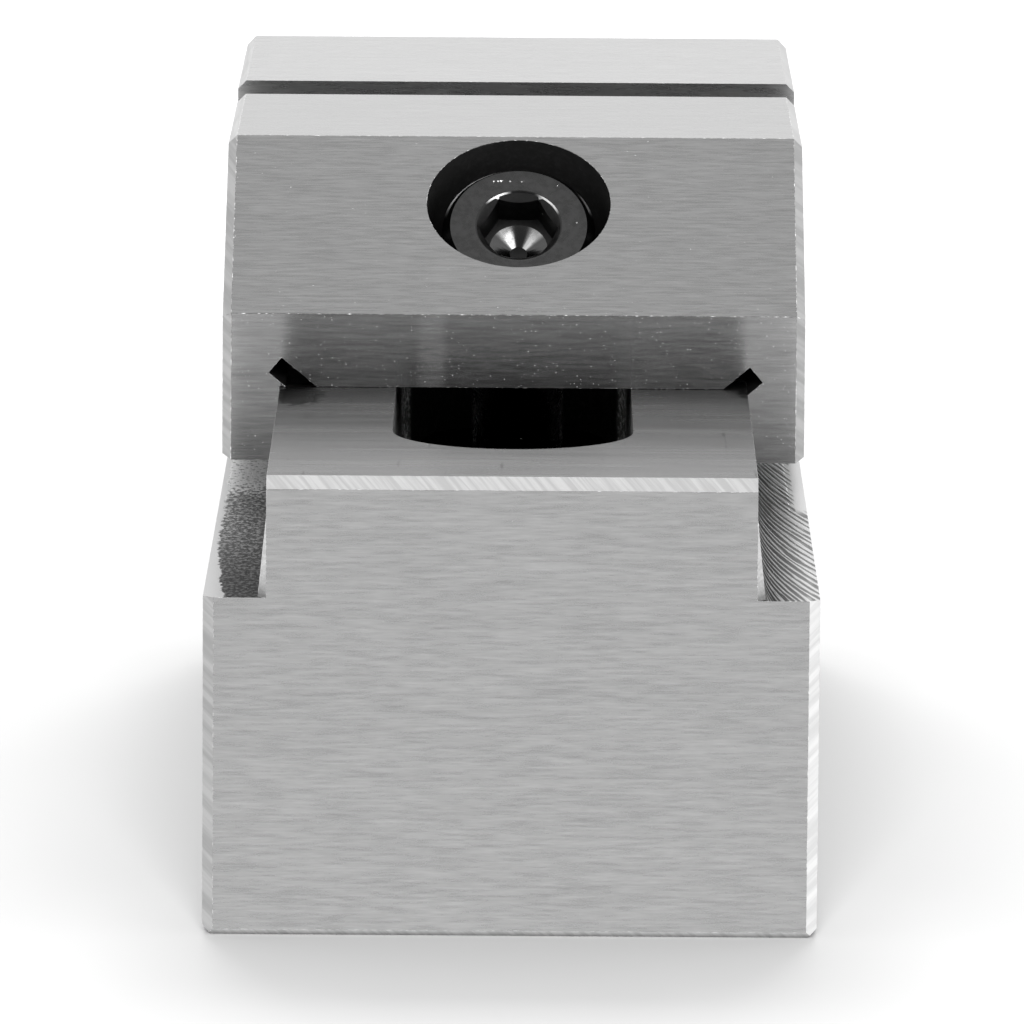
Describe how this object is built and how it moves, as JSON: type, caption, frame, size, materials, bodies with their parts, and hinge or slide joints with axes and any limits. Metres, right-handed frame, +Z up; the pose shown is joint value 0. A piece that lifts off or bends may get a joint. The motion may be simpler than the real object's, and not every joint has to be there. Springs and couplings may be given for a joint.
{
  "type": "precision vise",
  "caption": "Screwless ground-steel toolmaker's vise: sliding jaw on a rail, drawn down and forward by a slanted socket screw and a cross nut under the body.",
  "frame": {"origin": "middle of the ground base, on the surface it stands on", "axes": "+Y along the vise towards the fixed jaw, +X across the jaws, +Z up"},
  "size_m": [0.05, 0.143, 0.057],
  "materials": {
    "ground_steel": "surface ground",
    "black_screw": "black oxide",
    "hardened_steel": "hardened and turned",
    "spring_steel": "phosphated"
  },
  "bodies": {
    "body": {"vise_body": "ground_steel"},
    "jaw": {"moving_jaw": "ground_steel", "spherical_washer": "hardened_steel"},
    "screw": {"clamp_screw": "black_screw", "retaining_ring": "spring_steel"},
    "nut": {"cross_nut": "hardened_steel"}
  },
  "joints": [
    {"name": "jaw_slide", "type": "slide", "parent": "body", "child": "jaw", "axis": [0, 1, 0], "range_m": [-0.05, 0.01]},
    {"name": "screw_turn", "type": "hinge", "parent": "jaw", "child": "screw", "pos_m": [0.00033, -0.0101, 0.0521], "axis": [0, 0.7071, -0.7071], "range_deg": [0, 1300]},
    {"name": "nut_travel", "type": "slide", "parent": "jaw", "child": "nut", "axis": [0, -0.7071, 0.7071], "range_m": [0, 0.00452]}
  ],
  "couplings": [
    {"joint": "nut_travel", "follows": "screw_turn", "m_per_rad": 0.00019894}
  ]
}
